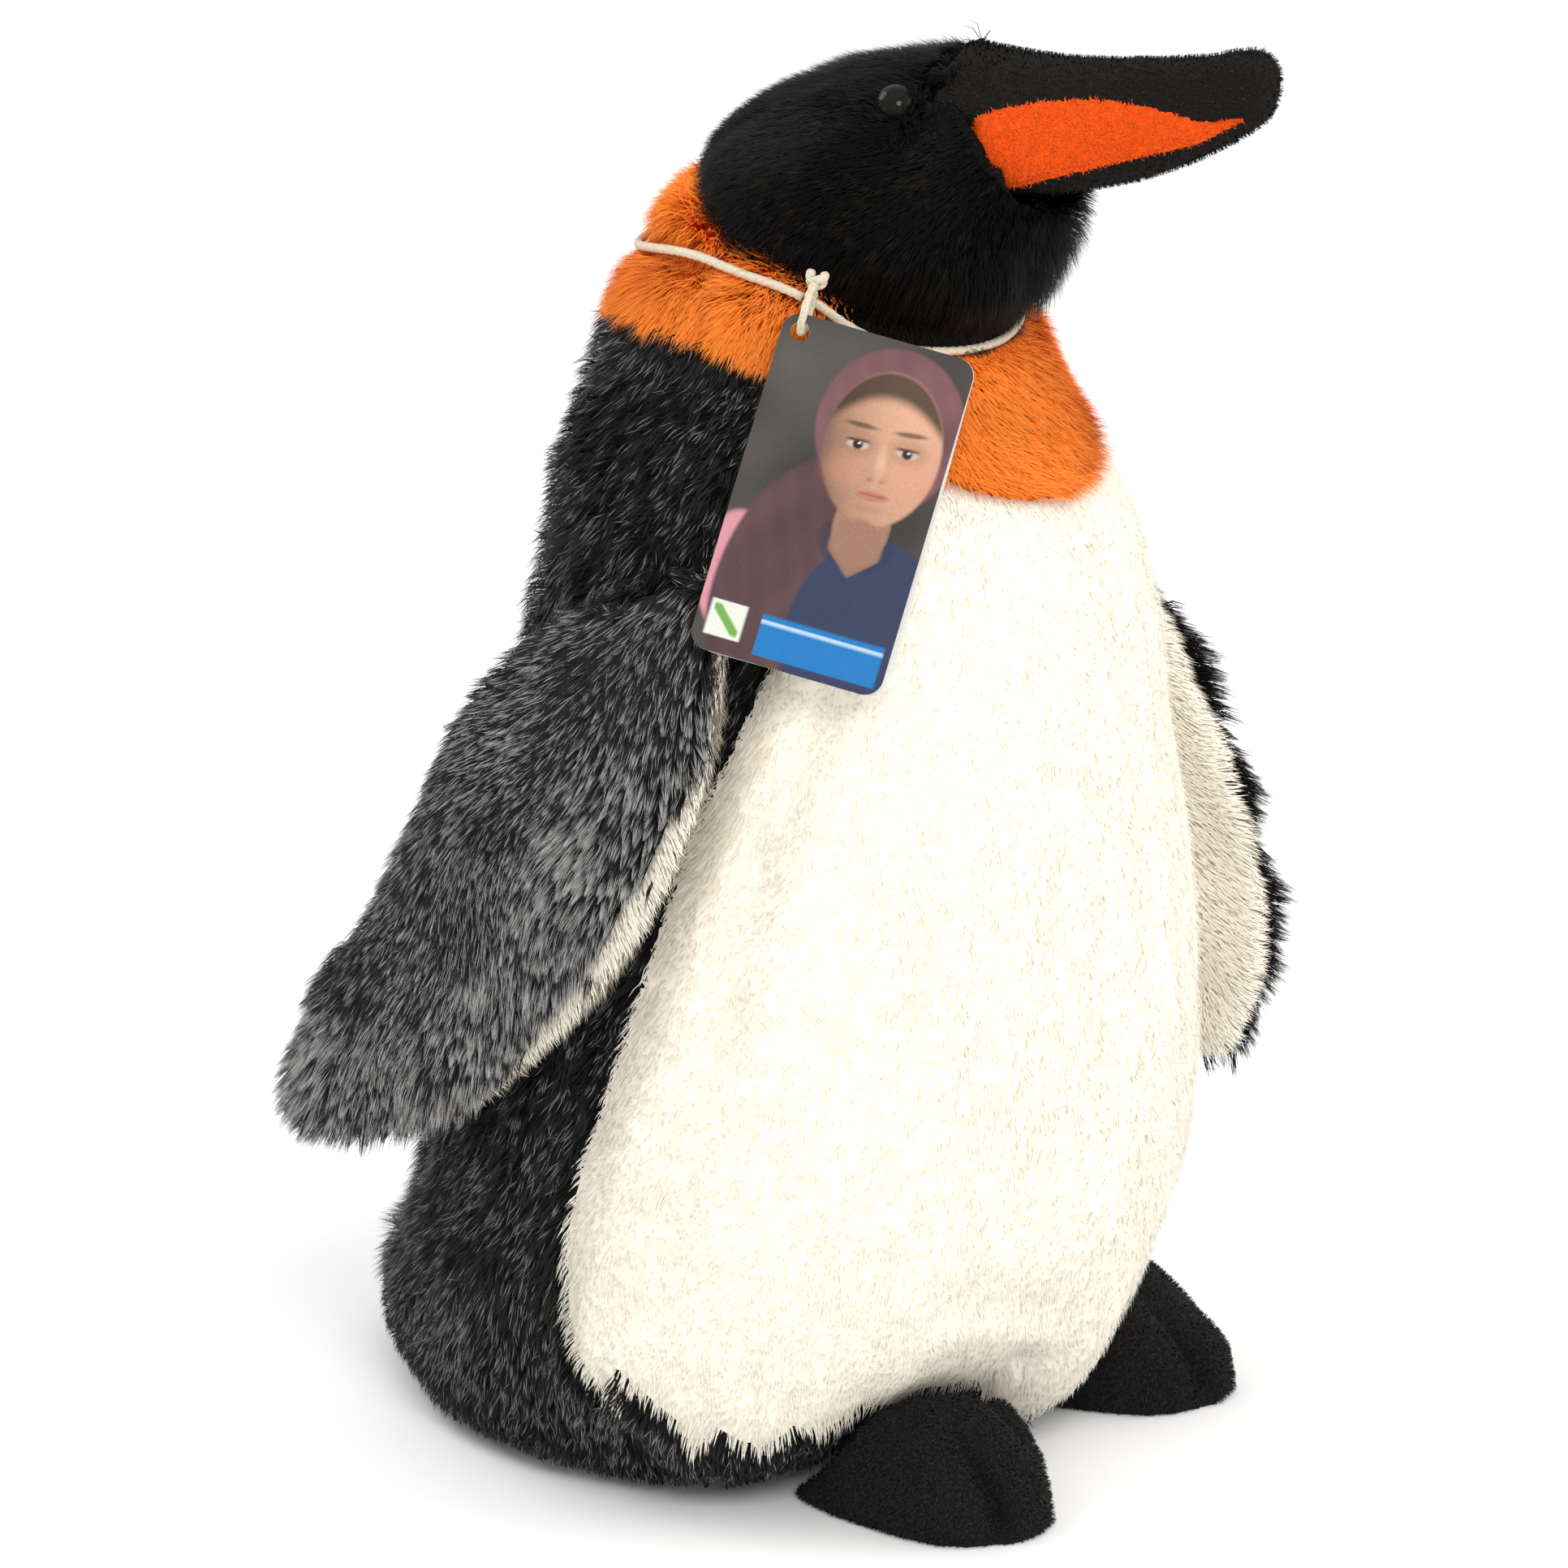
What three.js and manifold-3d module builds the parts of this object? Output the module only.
// A stuffed plush penguin: sewn fabric panels over stuffing, safety eyes, and a swing tag on a cotton neck cord.
// Millimetres, +Z up. The penguin faces -Y, its left side is +X, and its base rests on z = 0.
import * as THREE from "three";
import Module from "manifold-3d";

const wasm = await Module();
wasm.setup();

// ---- driving dimensions -------------------------------------------------------------------------------------------
const GAP = 0.4; // clearance between neighbouring pieces
const FABRIC = 2.0; // plush backing with its dense pile
const FELT = 1.4; // short-pile fabric of the beak and feet
const NECK = { y: -12, z: 340, tilt: 21, side: 49, depth: 46 };
const TAIL = { reach: 15, height: 28, spread: 34 };
const HEAD_REST_TURN = 10; // degrees, towards the penguin's left
const EYE = { radius: 5.6, stem: 2.2, washerRadius: 7.5, washerThickness: 1.6, sink: 1.3 };
const WING = { halfWidth: 39, thickness: 15, shoulder: 0.3 };
const FOOT = { length: 80, halfWidth: 23, height: 34 };
const TAG = { width: 52, height: 92, thickness: 0.5, corner: 5, hole: 2.6 };
const CORD_DIAMETER = 2.6;

// Torso sections, base to neck: height of the centre, tilt in degrees, half width, and the front and back reach in Y.
const TORSO = [
  { h: 0, tilt: 0, side: 78, front: -66, back: 112 },
  { h: 12, tilt: 0, side: 93, front: -80, back: 117 },
  { h: 34, tilt: 0, side: 102, front: -92, back: 117 },
  { h: 56, tilt: 0, side: 105, front: -99, back: 112 },
  { h: 80, tilt: 0, side: 106, front: -104, back: 107 },
  { h: 104, tilt: 0, side: 105, front: -106, back: 102 },
  { h: 128, tilt: 0, side: 103, front: -106, back: 98 },
  { h: 172, tilt: 0, side: 96, front: -102, back: 89 },
  { h: 216, tilt: 0, side: 87, front: -97, back: 79 },
  { h: 246, tilt: 2, side: 81, front: -94, back: 72 },
  { h: 278, tilt: 7, side: 72, front: -86, back: 66 },
  { h: 306, tilt: 14, side: 60, front: -73, back: 56 },
  { h: 326, tilt: 19, side: 52, front: -63, back: 42 },
  { h: NECK.z, tilt: NECK.tilt, side: NECK.side, front: NECK.y - NECK.depth, back: NECK.y + NECK.depth },
];

// Head sections, neck seam to crown, in the same terms.
const HEAD = [
  { h: NECK.z, tilt: NECK.tilt, side: 48.5, front: NECK.y - 45.5, back: NECK.y + 45.5 },
  { h: 347, tilt: 17, side: 51, front: -72, back: 31 },
  { h: 357, tilt: 12, side: 50, front: -76, back: 27 },
  { h: 369, tilt: 7, side: 46, front: -75, back: 20 },
  { h: 381, tilt: 2, side: 38, front: -72, back: 8 },
  { h: 390, tilt: 0, side: 28, front: -67, back: -6 },
  { h: 395, tilt: 0, side: 18, front: -60, back: -20 },
  { h: 397.5, tilt: 0, side: 5, front: -46, back: -34 },
];

// Beak sections, root to tip: Y, centre height, half height, half width.
const BEAK = [
  { y: -46, z: 375, up: 21, wide: 27 },
  { y: -60, z: 376, up: 19, wide: 22.5 },
  { y: -78, z: 377, up: 17.5, wide: 17 },
  { y: -98, z: 380, up: 16, wide: 14 },
  { y: -115, z: 384, up: 13.5, wide: 11.5 },
  { y: -128, z: 389, up: 11.5, wide: 9.5 },
  { y: -135, z: 391, up: 8.5, wide: 7 },
  { y: -138, z: 392, up: 2.5, wide: 2 },
];

const rad = THREE.MathUtils.degToRad;
const lerp = THREE.MathUtils.lerp;
const smooth = THREE.MathUtils.smoothstep;

// ---- shape helpers ------------------------------------------------------------------------------------------------
// Smooth value of one field of a list of sections, where place runs from 0 to 1 along the list.
function along(list, field, place) {
  const x = THREE.MathUtils.clamp(place, 0, 1) * (list.length - 1);
  const i = Math.min(Math.floor(x), list.length - 2);
  const f = x - i;
  const at = (k) => list[THREE.MathUtils.clamp(k, 0, list.length - 1)][field];
  const [a, b, c, d] = [at(i - 1), at(i), at(i + 1), at(i + 2)];
  return b + 0.5 * f * (c - a + f * (2 * a - 5 * b + 4 * c - d + f * (3 * (b - c) + d - a)));
}

// Place along a list at which a rising field reaches a value.
function placeOf(list, field, value) {
  let lo = 0;
  let hi = 1;
  for (let k = 0; k < 30; k += 1) {
    const mid = (lo + hi) / 2;
    if (along(list, field, mid) < value) lo = mid;
    else hi = mid;
  }
  return (lo + hi) / 2;
}

// A point on a lofted body: angle 0 is the front, +90 degrees the left side; inset moves it inwards.
function loftPoint(list, angle, place, inset) {
  const tilt = rad(along(list, "tilt", place));
  const front = along(list, "front", place);
  const back = along(list, "back", place);
  const middle = (front + back) / 2;
  const depth = Math.max((back - front) / 2 - inset, 0.6);
  const side = Math.max(along(list, "side", place) - inset, 0.6);
  const c = Math.cos(angle);
  const height = along(list, "h", place);
  const tail = list === TORSO ? tailReach(angle, height) : 0;
  return new THREE.Vector3(
    side * Math.sin(angle),
    middle - depth * c * Math.cos(tilt) + tail,
    height - depth * c * Math.sin(tilt),
  );
}

// How far the stubby tail stands out behind the torso.
function tailReach(angle, height) {
  const turn = Math.abs(Math.atan2(Math.sin(angle), Math.cos(angle)));
  const aside = (180 - THREE.MathUtils.radToDeg(turn)) / TAIL.spread;
  const above = (height - TAIL.height) / (height > TAIL.height ? 16 : 40);
  return TAIL.reach * Math.exp(-aside * aside - above * above);
}

// Turns a geometry the right way round when its faces point inwards.
function facingOut(geometry) {
  const flat = geometry.index ? geometry.toNonIndexed() : geometry;
  flat.deleteAttribute("uv");
  flat.deleteAttribute("normal");
  const p = flat.attributes.position;
  const [a, b, c] = [new THREE.Vector3(), new THREE.Vector3(), new THREE.Vector3()];
  let volume = 0;
  for (let i = 0; i < p.count; i += 3) {
    a.fromBufferAttribute(p, i);
    b.fromBufferAttribute(p, i + 1);
    c.fromBufferAttribute(p, i + 2);
    volume += a.dot(b.cross(c));
  }
  if (volume > 0) return flat;
  for (let i = 0; i < p.count; i += 3) {
    b.fromBufferAttribute(p, i + 1);
    c.fromBufferAttribute(p, i + 2);
    p.setXYZ(i + 1, c.x, c.y, c.z);
    p.setXYZ(i + 2, b.x, b.y, b.z);
  }
  return flat;
}

// Moves every vertex of a geometry through a function of its position.
function warped(geometry, place) {
  const p = geometry.attributes.position;
  const v = new THREE.Vector3();
  for (let i = 0; i < p.count; i += 1) {
    v.fromBufferAttribute(p, i);
    const q = place(v);
    p.setXYZ(i, q.x, q.y, q.z);
  }
  return facingOut(geometry);
}

// A fabric panel: surface(u, v, inset) with u and v from 0 to 1, thickened inwards.
function panel(surface, across, up, thickness) {
  const block = new THREE.BoxGeometry(1, 1, 1, across, up, 1);
  return warped(block, (v) => surface(v.x + 0.5, v.y + 0.5, (0.5 - v.z) * thickness));
}

// A cup or dome: surface(angle, share, inset) with share 0 at its middle and 1 at its rim, thickened inwards.
function shell(around, rings, thickness, surface) {
  const profile = [];
  for (let k = 0; k <= rings; k += 1) profile.push(new THREE.Vector2(k / rings, 0));
  for (let k = rings; k >= 0; k -= 1) profile.push(new THREE.Vector2(k / rings, 1));
  const plate = new THREE.LatheGeometry(profile, around);
  return warped(plate, (v) => {
    const share = Math.min(Math.hypot(v.x, v.z), 1);
    return surface(Math.atan2(v.x, v.z), share, v.y * thickness);
  });
}

// A filled body: surface(angle, place, share) with share 0 at the axis and 1 at the skin.
function filling(surface, around, up) {
  const drum = new THREE.CylinderGeometry(1, 1, 1, around, up);
  return warped(drum, (v) => {
    const share = Math.min(Math.hypot(v.x, v.z), 1);
    return surface(Math.atan2(v.x, v.z), v.y + 0.5, share);
  });
}

// ---- joining and cutting ------------------------------------------------------------------------------------------
function toSolid(geometry) {
  const p = geometry.attributes.position;
  const keys = new Map();
  const points = [];
  const corners = [];
  for (let i = 0; i < p.count; i += 1) {
    const v = [p.getX(i), p.getY(i), p.getZ(i)];
    const key = v.map((x) => Math.round(x * 500)).join(" ");
    if (!keys.has(key)) {
      keys.set(key, points.length / 3);
      points.push(...v);
    }
    corners.push(keys.get(key));
  }
  const kept = [];
  for (let i = 0; i < corners.length; i += 3) {
    const [a, b, c] = corners.slice(i, i + 3);
    if (a !== b && b !== c && a !== c) kept.push(a, b, c);
  }
  const mesh = new wasm.Mesh({
    numProp: 3,
    vertProperties: new Float32Array(points),
    triVerts: new Uint32Array(kept),
  });
  return new wasm.Manifold(mesh);
}

function toGeometry(solid) {
  const mesh = solid.getMesh();
  const points = new Float32Array(mesh.numVert * 3);
  for (let i = 0; i < mesh.numVert; i += 1) {
    points.set(mesh.vertProperties.subarray(i * mesh.numProp, i * mesh.numProp + 3), i * 3);
  }
  const indexed = new THREE.BufferGeometry();
  indexed.setAttribute("position", new THREE.BufferAttribute(points, 3));
  indexed.setIndex(new THREE.BufferAttribute(mesh.triVerts, 1));
  return indexed.toNonIndexed();
}

// Cuts the tools out of a geometry and keeps its largest piece.
function cut(geometry, ...tools) {
  let solid = toSolid(geometry);
  for (const tool of tools) solid = solid.subtract(tool);
  const pieces = solid.decompose();
  pieces.sort((a, b) => b.volume() - a.volume());
  return toGeometry(pieces[0]);
}

// ---- torso --------------------------------------------------------------------------------------------------------
// Half angle of the belly panel, by its share of the way up.
function bellyAngle(share) {
  const low = lerp(72, 94, smooth(share, -0.02, 0.16));
  return rad(low - 30 * smooth(share, 0.3, 1));
}

// Where the collar's lower seam runs, by angle: low in front as a bib, higher at the shoulders.
function collarPlace(angle) {
  const away = Math.abs(angle);
  const height = 291 + 26 * smooth(away, rad(8), rad(80)) - 18 * smooth(away, rad(95), rad(170));
  return placeOf(TORSO, "h", height);
}

// Where the back and belly end and the base panel starts, by angle: low in front, at the tail's edge behind.
function hemPlace(angle) {
  const away = Math.abs(angle);
  return placeOf(TORSO, "h", 11 + 23 * smooth(away, rad(70), rad(170)));
}

function seamOffset(place) {
  return (GAP / 2) / along(TORSO, "side", place);
}

function bellySurface(u, v, inset) {
  const angle = (2 * u - 1) * (bellyAngle(v) - seamOffset(v));
  const place = lerp(hemPlace(angle) + 0.002, collarPlace(angle) - 0.002, v);
  return loftPoint(TORSO, angle, place, inset);
}

function backSurface(u, v, inset) {
  const edge = bellyAngle(v) + seamOffset(v);
  const angle = lerp(edge, 2 * Math.PI - edge, u);
  const signed = angle > Math.PI ? angle - 2 * Math.PI : angle;
  const place = lerp(hemPlace(signed) + 0.002, collarPlace(signed) - 0.002, v);
  return loftPoint(TORSO, angle, place, inset);
}

const COLLAR_SPLIT = rad(100);

function collarSurface(from, to) {
  return (u, v, inset) => {
    const angle = lerp(from + 0.005, to - 0.005, u);
    const signed = angle > Math.PI ? angle - 2 * Math.PI : angle;
    const place = lerp(collarPlace(signed) + 0.002, 0.998, v);
    return loftPoint(TORSO, angle, place, inset);
  };
}

// The base: a flat floor with a rim that rises to the hem and to the edge of the tail.
function basePanel(thickness) {
  const floor = 0.4;
  return shell(32, 6, thickness, (angle, share, inset) => {
    if (share <= floor) {
      const p = loftPoint(TORSO, angle, 0, inset);
      return new THREE.Vector3((p.x * share) / floor, 18 + ((p.y - 18) * share) / floor, inset);
    }
    const place = ((share - floor) / (1 - floor)) * (hemPlace(angle) - 0.002);
    const p = loftPoint(TORSO, angle, place, inset);
    return new THREE.Vector3(p.x, p.y, Math.max(p.z, inset));
  });
}

// A solid between two places of a lofted list, its ends closed across the axis.
function loftFilling(list, inset, bottom, top, around, up) {
  return filling(
    (angle, v, share) => {
      const place = lerp(bottom, top, v);
      const skin = loftPoint(list, angle, place, inset);
      const middle = (along(list, "front", place) + along(list, "back", place)) / 2;
      const axis = new THREE.Vector3(0, middle, along(list, "h", place));
      return axis.lerp(skin, share);
    },
    around,
    up,
  );
}

const torsoTool = toSolid(loftFilling(TORSO, -GAP - 0.4, 0, 1, 64, 30));

// Stuffing of the torso, clear of the panels and of the floor of the base.
function bodyStuffing() {
  const inset = FABRIC + GAP + 2.1;
  const solid = toSolid(loftFilling(TORSO, inset, 0, 0.995, 32, 18));
  const floor = new THREE.BoxGeometry(400, 400, 20).translate(0, 0, FABRIC + 2 * GAP - 10);
  return toGeometry(solid.subtract(toSolid(facingOut(floor))).subtract(toSolid(basePanel(FABRIC + 1.2))));
}

// ---- head ---------------------------------------------------------------------------------------------------------
const neckPoint = new THREE.Vector3(0, NECK.y, NECK.z);
const neckAxis = new THREE.Vector3(0, -Math.sin(rad(NECK.tilt)), Math.cos(rad(NECK.tilt)));
const headPose = new THREE.Matrix4()
  .makeTranslation(neckPoint)
  .multiply(new THREE.Matrix4().makeRotationAxis(neckAxis, rad(HEAD_REST_TURN)))
  .multiply(new THREE.Matrix4().makeTranslation(neckPoint.clone().negate()));
const HEAD_START = 0.015; // keeps the head clear of the collar

function slab(from, to) {
  const box = new THREE.BoxGeometry(to - from, 400, 400).translate((from + to) / 2, 0, 300);
  return toSolid(facingOut(box));
}

function headShell() {
  return shell(26, 9, FABRIC, (angle, share, inset) => {
    const place = lerp(1, HEAD_START, share);
    return loftPoint(HEAD, angle, place, inset);
  });
}

function headStuffing() {
  return loftFilling(HEAD, FABRIC + GAP + 1.5, HEAD_START, 0.93, 22, 10);
}

// ---- beak ---------------------------------------------------------------------------------------------------------
// A point on the beak: around is 0 on top, +90 degrees on the left side, 180 degrees underneath.
function beakPoint(around, place, inset) {
  const roundness = 0.82;
  const up = Math.max(along(BEAK, "up", place) - inset, 0.4);
  const wide = Math.max(along(BEAK, "wide", place) - inset, 0.4);
  const s = Math.sin(around);
  const c = Math.cos(around);
  return new THREE.Vector3(
    wide * Math.sign(s) * Math.abs(s) ** roundness,
    along(BEAK, "y", place) + inset * smooth(place, 0.75, 1),
    along(BEAK, "z", place) + up * Math.sign(c) * Math.abs(c) ** roundness,
  );
}

const PATCH_END = 0.7; // the side patches come to a point here

function patchTop(place) {
  const arch = 22 * Math.sin(Math.PI * Math.min(place / PATCH_END, 1));
  return rad(lerp(80, 97, smooth(place, 0.1, PATCH_END)) - arch);
}

function patchFoot(place) {
  return rad(lerp(138, 98.5, Math.min(place / PATCH_END, 1) ** 1.4));
}

const beakGap = (place) => (GAP / 2) / Math.max(along(BEAK, "wide", place), 2);

function beakUpper(u, v, inset) {
  const edge = patchTop(v) - beakGap(v);
  return beakPoint(lerp(-edge, edge, u), v, inset);
}

function beakLower(u, v, inset) {
  const edge = (v < PATCH_END ? patchFoot(v) : patchTop(v)) + beakGap(v);
  return beakPoint(lerp(edge, 2 * Math.PI - edge, u), v, inset);
}

function beakPatch(sign) {
  return (u, v, inset) => {
    const place = lerp(0.12, PATCH_END - 0.01, v);
    const top = patchTop(place) + beakGap(place);
    const foot = Math.max(patchFoot(place) - beakGap(place), top + 0.03);
    return beakPoint(sign * lerp(top, foot, u), place, inset);
  };
}

function beakFilling(inset, from, to, around, up) {
  return filling(
    (angle, v, share) => {
      const place = lerp(from, to, v);
      const skin = beakPoint(angle, place, inset);
      const axis = new THREE.Vector3(0, skin.y, along(BEAK, "z", place));
      return axis.lerp(skin, share);
    },
    around,
    up,
  );
}

// ---- eyes ---------------------------------------------------------------------------------------------------------
const EYE_ANGLE = 84;
const EYE_HEIGHT = 387;

// Matrix that stands an upright lathe on the head at an eye, its axis along the outward normal.
function eyePose(sign) {
  const place = placeOf(HEAD, "h", EYE_HEIGHT);
  const angle = sign * rad(EYE_ANGLE);
  const at = loftPoint(HEAD, angle, place, 0);
  const aside = loftPoint(HEAD, angle + sign * 0.05, place, 0).sub(at);
  const above = loftPoint(HEAD, angle, place + 0.02, 0).sub(at);
  const normal = new THREE.Vector3().crossVectors(aside, above).normalize();
  if (normal.x * sign < 0) normal.negate();
  const turn = new THREE.Quaternion().setFromUnitVectors(new THREE.Vector3(0, 1, 0), normal);
  return new THREE.Matrix4().compose(at, turn, new THREE.Vector3(1, 1, 1));
}

function lathe(points, around) {
  return facingOut(new THREE.LatheGeometry(points.map(([x, y]) => new THREE.Vector2(x, y)), around));
}

function eyeProfile(grow) {
  const { radius, stem } = EYE;
  const points = [[0, -9 - grow], [stem + grow, -9 - grow], [stem + grow, 0.2 - grow], [radius + grow, 0.2 - grow]];
  for (let k = 1; k < 6; k += 1) {
    const a = (k / 6) * (Math.PI / 2);
    points.push([(radius + grow) * Math.cos(a), 0.2 + (radius * 0.75 + grow) * Math.sin(a)]);
  }
  points.push([0, 0.2 + radius * 0.75 + grow]);
  return points;
}

function washerProfile(grow) {
  const top = -FABRIC - GAP - EYE.sink + grow;
  const low = top - EYE.washerThickness - 2 * grow;
  const inner = grow > 0 ? 0 : EYE.stem + GAP;
  const outer = EYE.washerRadius + grow;
  return [[inner, low], [outer, low], [outer, top], [inner, top], [inner, low]];
}

// ---- wings --------------------------------------------------------------------------------------------------------
// Each wing follows a curve from its shoulder to its tip; facing is the direction its outer face looks, and slant
// lifts the shoulder end of its front edge.
const WINGS = {
  left: {
    root: [86, 8, 256],
    bend: [113, -28, 188],
    tip: [117, -72, 80],
    facing: [1, 0.1, 0.12],
    front: -1,
    slant: 6,
  },
  right: {
    root: [-82, -5, 264],
    bend: [-113, 12, 186],
    tip: [-99, 100, 104],
    facing: [-1, 0.22, 0.05],
    front: 1,
    slant: 15,
  },
};
const WING_OUTLINE = [0.56, 0.8, 0.94, 1.01, 1.04, 1.02, 0.97, 0.87, 0.66, 0.14].map((w) => ({ w }));

function wingPoint(wing, across, place, rise) {
  const [root, bend, tip] = [wing.root, wing.bend, wing.tip].map((p) => new THREE.Vector3(...p));
  const curve = new THREE.QuadraticBezierCurve3(root, bend, tip);
  const tangent = curve.getTangent(place);
  const side = new THREE.Vector3().crossVectors(new THREE.Vector3(...wing.facing), tangent).normalize();
  const normal = new THREE.Vector3().crossVectors(tangent, side).normalize();
  const leading = Math.max(across * wing.front, 0);
  const shoulder = 1 - WING.shoulder * leading * (1 - smooth(place, 0, 0.34));
  const half = WING.halfWidth * along(WING_OUTLINE, "w", place) * shoulder;
  const slant = -across * wing.front * wing.slant * (1 - place) ** 2;
  const point = curve.getPoint(place).addScaledVector(side, across * half);
  return point.addScaledVector(tangent, slant).addScaledVector(normal, rise);
}

// Half thickness of a wing at a place; plump in the middle and thin at the edges.
function wingRise(across, place) {
  const plump = Math.sqrt(Math.max(1 - across * across, 0));
  const share = 0.55 + 0.45 * Math.sin(Math.PI * Math.min(place * 0.9 + 0.12, 1));
  return GAP / 2 + FABRIC + (WING.thickness / 2 - FABRIC) * plump * share;
}

function wingPanel(wing, sign) {
  return panel(
    (u, v, inset) => {
      const across = Math.sin((u - 0.5) * Math.PI);
      return wingPoint(wing, across, v, sign * (wingRise(across, v) - inset));
    },
    7,
    11,
    FABRIC,
  );
}

function wingStuffing(wing) {
  return panel(
    (u, v, inset) => {
      const across = 0.92 * Math.sin((u - 0.5) * Math.PI);
      const place = lerp(0.04, 0.97, v);
      const rise = Math.max(wingRise(across, place) - FABRIC - 2.4 * GAP, 0.2);
      return wingPoint(wing, across, place, rise * (1 - inset));
    },
    5,
    9,
    2,
  );
}

// ---- feet ---------------------------------------------------------------------------------------------------------
const FEET = { left: { at: [50, -66], yaw: 14 }, right: { at: [-50, -64], yaw: -6 } };

// Plan outline of a foot with three toes, angle 0 at the toes.
function footOutline(angle, inset) {
  const front = smooth(Math.cos(angle), 0.1, 0.6);
  const toes = 1 + 0.07 * front * (Math.abs(Math.cos(angle * 2.6)) - 0.5);
  const half = FOOT.length / 2;
  const wide = FOOT.halfWidth * lerp(1, 1.12, (1 + Math.cos(angle)) / 2);
  const x = (wide * toes - inset) * Math.sign(Math.sin(angle)) * Math.abs(Math.sin(angle)) ** 0.85;
  const y = -(half * toes - inset) * Math.sign(Math.cos(angle)) * Math.abs(Math.cos(angle)) ** 0.85;
  return new THREE.Vector2(x, y);
}

function footPoint(angle, share, inset) {
  const rim = footOutline(angle, inset);
  const reach = Math.sin((share * Math.PI) / 2) ** 0.9;
  const base = FELT + GAP;
  const y = rim.y * reach;
  const instep = lerp(1, 0.72, smooth(-y / FOOT.length, 0, 0.5));
  const groove = 0.14 * smooth(-y / FOOT.length, 0.1, 0.45) * (1 - Math.abs(Math.cos(angle * 2.6)));
  const rise = (FOOT.height - base - inset) * instep * (1 - groove) * Math.cos((share * Math.PI) / 2) ** 0.62;
  return new THREE.Vector3(rim.x * reach, y, base + Math.max(rise, 0));
}

function footPose({ at, yaw }) {
  const turn = new THREE.Matrix4().makeRotationZ(rad(yaw));
  return new THREE.Matrix4().makeTranslation(at[0], at[1], 0).multiply(turn);
}

function footSole() {
  return filling(
    (angle, v, share) => {
      const rim = footOutline(angle, 0.6);
      return new THREE.Vector3(rim.x * share, rim.y * share, v * FELT);
    },
    24,
    1,
  );
}

function footStuffing() {
  return filling(
    (angle, v, share) => {
      const ring = v < 0.5 ? share : share * Math.cos((v - 0.5) * Math.PI * 0.999);
      const inset = FELT + 2 * GAP;
      const q = footPoint(angle, Math.max(ring, 0.001), inset);
      if (v < 0.25) q.z = FELT + GAP;
      return q;
    },
    24,
    6,
  );
}

// ---- swing tag and its cord ---------------------------------------------------------------------------------------
const TAG_HANG = { at: [-63, -34, 331], yaw: -64, lean: 24, roll: -15 };
const tagPose = new THREE.Matrix4()
  .makeTranslation(...TAG_HANG.at)
  .multiply(new THREE.Matrix4().makeRotationZ(rad(TAG_HANG.yaw)))
  .multiply(new THREE.Matrix4().makeRotationX(rad(-TAG_HANG.lean)))
  .multiply(new THREE.Matrix4().makeRotationY(rad(-TAG_HANG.roll)));
const HOLE_IN = 5; // hole centre from the fold
const HOLE_DOWN = 4.8; // hole centre from the top edge

// One card leaf in the tag's frame: the hole at the origin, +X to the right of a reader, -Y towards the reader.
function tagLeaf(depth, open) {
  const { width, height, corner, hole, thickness } = TAG;
  const [x0, x1, z0, z1] = [-HOLE_IN, width - HOLE_IN, HOLE_DOWN - height, HOLE_DOWN];
  const outline = new THREE.Shape();
  outline.moveTo(x0 + corner, z0);
  outline.lineTo(x1 - corner, z0);
  outline.absarc(x1 - corner, z0 + corner, corner, -Math.PI / 2, 0);
  outline.lineTo(x1, z1 - corner);
  outline.absarc(x1 - corner, z1 - corner, corner, 0, Math.PI / 2);
  outline.lineTo(x0 + corner, z1);
  outline.absarc(x0 + corner, z1 - corner, corner, Math.PI / 2, Math.PI);
  outline.lineTo(x0, z0 + corner);
  outline.absarc(x0 + corner, z0 + corner, corner, Math.PI, 1.5 * Math.PI);
  outline.holes.push(new THREE.Path().absarc(0, 0, hole, 0, 2 * Math.PI));
  const card = new THREE.ExtrudeGeometry(outline, { depth: thickness, bevelEnabled: false, curveSegments: 4 });
  card.rotateX(Math.PI / 2);
  card.translate(HOLE_IN, depth, 0);
  card.rotateZ(rad(open));
  card.translate(-HOLE_IN, 0, 0);
  return facingOut(card);
}

function cordHeight(angle) {
  return 335 - 15 * smooth(Math.abs(angle), rad(100), rad(175));
}

const KNOT_ANGLE = rad(-72);
const LOOP = { radius: 6.5, thickness: 1.0 };
const knotAt = new THREE.Vector3(0, 0, 2 * LOOP.radius + 1.6).applyMatrix4(tagPose);

class NeckLoop extends THREE.Curve {
  getPoint(t, target = new THREE.Vector3()) {
    const angle = KNOT_ANGLE + rad(4) + t * (2 * Math.PI - rad(8));
    const signed = Math.atan2(Math.sin(angle), Math.cos(angle));
    const off = CORD_DIAMETER / 2 + 0.6;
    const p = loftPoint(TORSO, signed, placeOf(TORSO, "h", cordHeight(signed)), -off);
    const near = smooth(Math.abs(t - 0.5), 0.42, 0.5);
    return target.copy(p).lerp(knotAt, near * 0.5);
  }
}

function neckCord() {
  const section = new THREE.Shape().absarc(0, 0, CORD_DIAMETER / 2, 0, 2 * Math.PI);
  const sweep = { steps: 48, curveSegments: 4, extrudePath: new NeckLoop(), bevelEnabled: false };
  return facingOut(new THREE.ExtrudeGeometry(section, sweep));
}

function cordKnot() {
  const ball = new THREE.SphereGeometry(2.8, 10, 7).scale(1, 1, 0.8).translate(0, 0, 2 * LOOP.radius + 1.6);
  const ring = new THREE.TorusGeometry(LOOP.radius, LOOP.thickness, 6, 18);
  ring.rotateY(Math.PI / 2).translate(0, 0, LOOP.radius);
  const joined = toSolid(facingOut(ball)).add(toSolid(facingOut(ring)));
  return toGeometry(joined);
}

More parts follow.
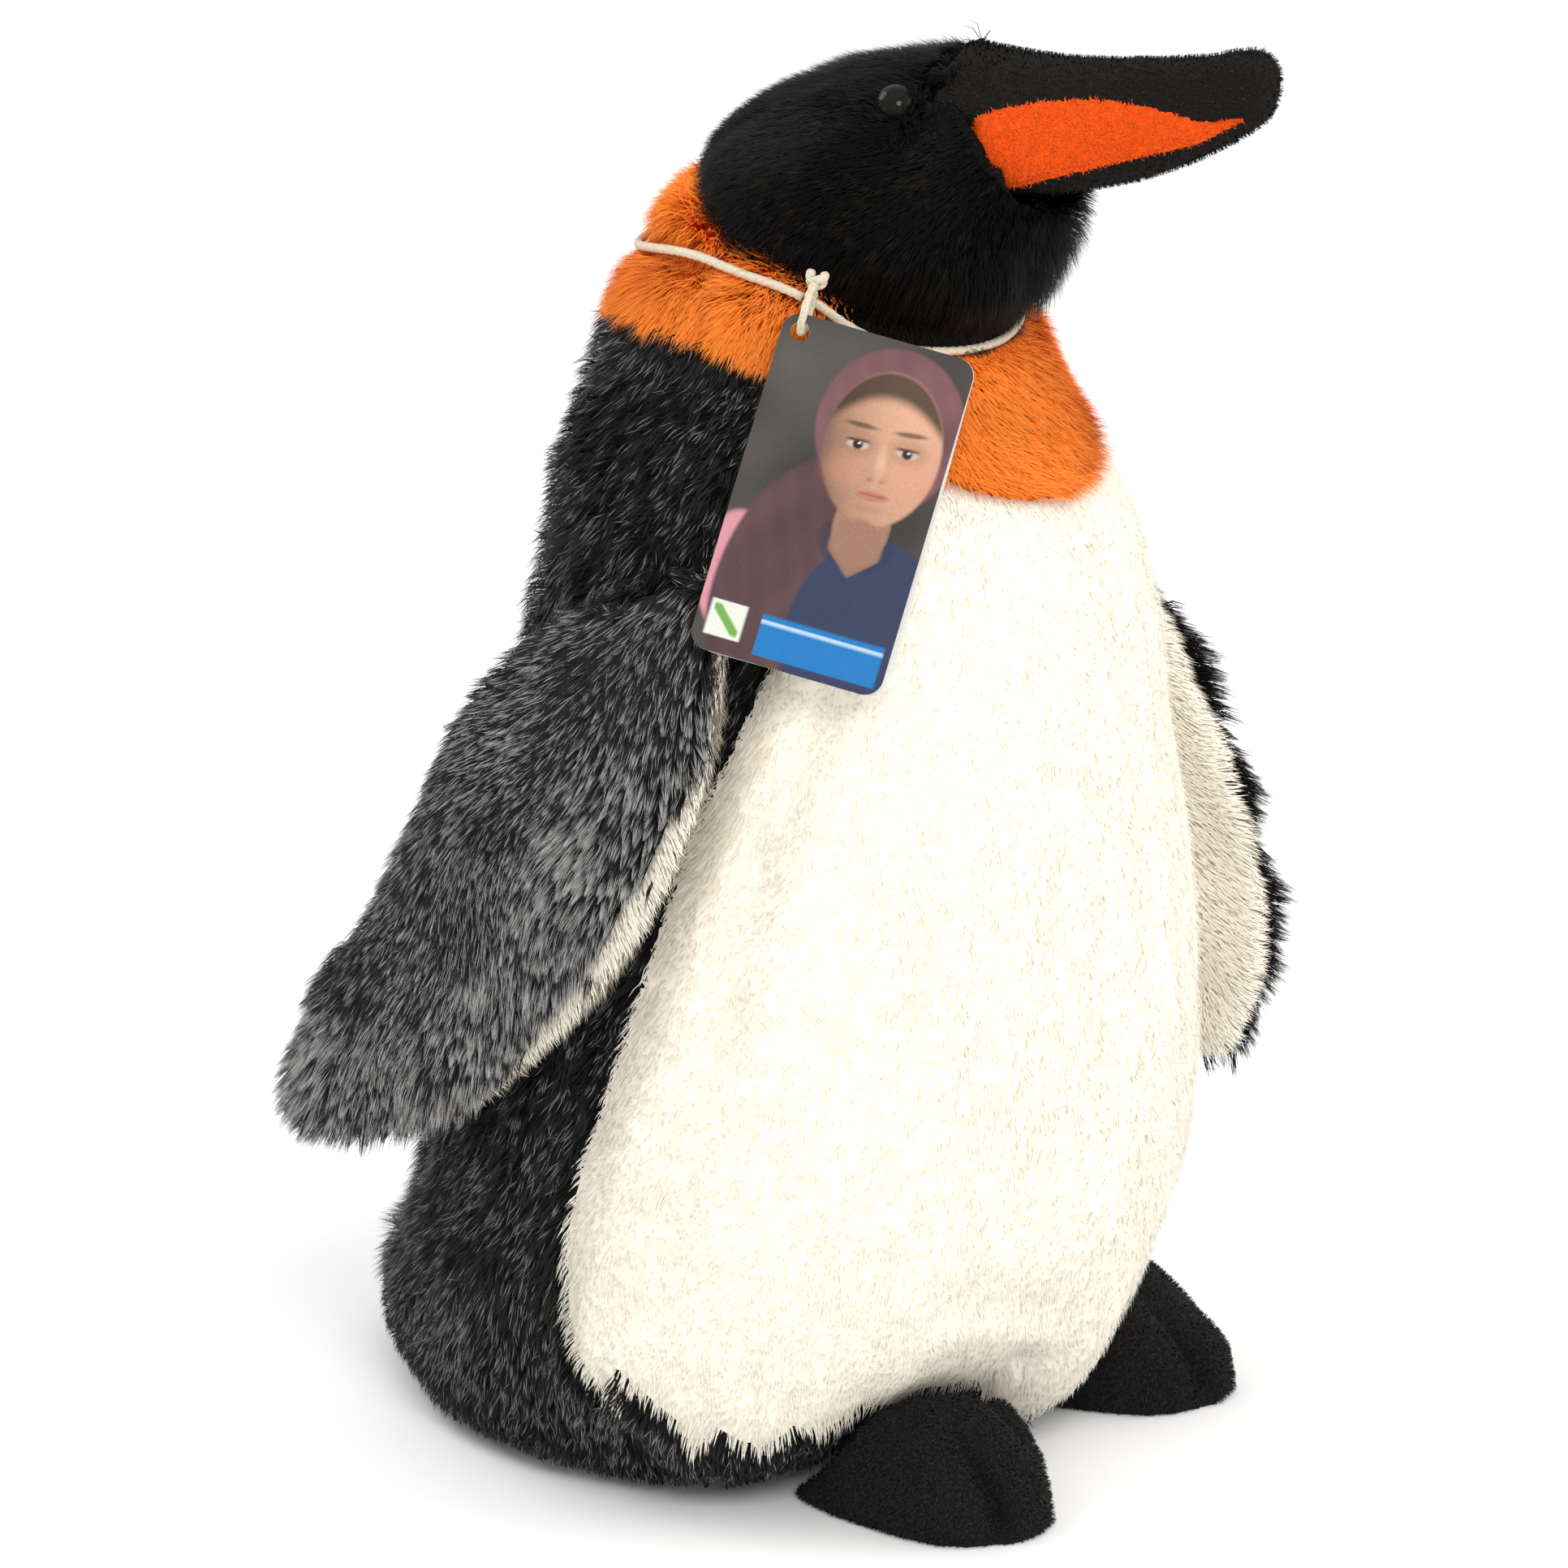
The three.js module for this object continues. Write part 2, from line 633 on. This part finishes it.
// ---- assembly -----------------------------------------------------------------------------------------------------
const penguin = new THREE.Group();
const FINISH = {
  creamPlush: { color: 0xf0ead8, roughness: 0.95 },
  charcoalPlush: { color: 0x2b2c30, roughness: 0.95 },
  frostedPlush: { color: 0x55565c, roughness: 0.9 },
  orangePlush: { color: 0xf26a14, roughness: 0.95 },
  blackPlush: { color: 0x141312, roughness: 0.9 },
  blackFelt: { color: 0x16130f, roughness: 1 },
  orangeFelt: { color: 0xf4500a, roughness: 1 },
  filling: { color: 0xf2f2f2, roughness: 1 },
  eye: { color: 0x050505, roughness: 0.08 },
  washer: { color: 0xd8d8d8, roughness: 0.5 },
  card: { color: 0x7a6660, roughness: 0.45 },
  cotton: { color: 0xe4dac0, roughness: 0.95 },
};

function add(group, name, geometry, finish) {
  const material = new THREE.MeshStandardMaterial({ ...FINISH[finish], metalness: 0 });
  const mesh = new THREE.Mesh(geometry, material);
  mesh.name = name;
  group.add(mesh);
  return mesh;
}

function torsoGroup() {
  const group = new THREE.Group();
  const bib = collarSurface(-COLLAR_SPLIT, COLLAR_SPLIT);
  const nape = collarSurface(COLLAR_SPLIT, 2 * Math.PI - COLLAR_SPLIT);
  add(group, "belly_panel", panel(bellySurface, 14, 14, FABRIC), "creamPlush");
  add(group, "back_panel", panel(backSurface, 16, 14, FABRIC), "charcoalPlush");
  add(group, "collar_bib", panel(bib, 14, 3, FABRIC), "orangePlush");
  add(group, "collar_nape", panel(nape, 12, 3, FABRIC), "orangePlush");
  add(group, "base_panel", basePanel(FABRIC), "charcoalPlush");
  add(group, "body_stuffing", bodyStuffing(), "filling");
  return group;
}

// Everything above the neck seam, in the head's own straight-ahead frame.
function headGroup() {
  const group = new THREE.Group();
  const beakTool = toSolid(beakFilling(-GAP, 0, 1, 32, 24));
  const eyeTools = [1, -1].map((sign) => toSolid(lathe(eyeProfile(GAP), 12).applyMatrix4(eyePose(sign))));
  const washerTools = [1, -1].map((sign) => toSolid(lathe(washerProfile(GAP), 12).applyMatrix4(eyePose(sign))));
  const shape = headShell();
  const middle = toSolid(shape).subtract(slab(-200, -13.8)).subtract(slab(13.8, 200)).subtract(beakTool);
  const [strip, throat] = middle.decompose().sort((a, b) => b.volume() - a.volume());
  add(group, "head_panel_left", cut(shape, slab(-200, 14.2), beakTool, ...eyeTools), "blackPlush");
  add(group, "head_panel_right", cut(shape, slab(-14.2, 200), beakTool, ...eyeTools), "blackPlush");
  add(group, "head_centre_strip", toGeometry(strip), "blackPlush");
  add(group, "throat_panel", toGeometry(throat), "blackPlush");
  add(group, "head_stuffing", cut(headStuffing(), beakTool, ...eyeTools, ...washerTools), "filling");
  add(group, "beak_upper", panel(beakUpper, 8, 12, FELT), "blackFelt");
  add(group, "beak_lower", panel(beakLower, 8, 12, FELT), "blackFelt");
  add(group, "beak_stuffing", beakFilling(FELT + GAP + 0.3, 0.01, 0.95, 16, 10), "filling");
  for (const [side, sign] of [["left", 1], ["right", -1]]) {
    add(group, `beak_patch_${side}`, panel(beakPatch(sign), 4, 9, FELT), "orangeFelt");
    add(group, `eye_${side}`, lathe(eyeProfile(0), 12), "eye").applyMatrix4(eyePose(sign));
    add(group, `eye_washer_${side}`, lathe(washerProfile(0), 12), "washer").applyMatrix4(eyePose(sign));
  }
  group.applyMatrix4(headPose);
  return group;
}

function wingGroup(side, wing) {
  const group = new THREE.Group();
  add(group, `wing_${side}_outer`, cut(wingPanel(wing, 1), torsoTool), "frostedPlush");
  add(group, `wing_${side}_inner`, cut(wingPanel(wing, -1), torsoTool), "creamPlush");
  add(group, `wing_${side}_stuffing`, cut(wingStuffing(wing), torsoTool), "filling");
  return group;
}

function footGroup(side, foot) {
  const group = new THREE.Group();
  const pose = footPose(foot);
  const upper = shell(24, 5, FELT, footPoint).applyMatrix4(pose);
  add(group, `foot_${side}_upper`, cut(upper, torsoTool), "blackFelt");
  add(group, `foot_${side}_sole`, cut(footSole().applyMatrix4(pose), torsoTool), "blackFelt");
  add(group, `foot_${side}_stuffing`, cut(footStuffing().applyMatrix4(pose), torsoTool), "filling");
  return group;
}

function tagGroup() {
  const group = new THREE.Group();
  add(group, "tag_cover", tagLeaf(0, 0), "card");
  add(group, "tag_back", tagLeaf(1.2, 3), "card");
  add(group, "cord_knot", cordKnot(), "cotton");
  group.applyMatrix4(tagPose);
  return group;
}

penguin.add(torsoGroup(), headGroup(), tagGroup());
for (const [side, wing] of Object.entries(WINGS)) penguin.add(wingGroup(side, wing));
for (const [side, foot] of Object.entries(FEET)) penguin.add(footGroup(side, foot));
add(penguin, "neck_cord", neckCord(), "cotton");

export default penguin;
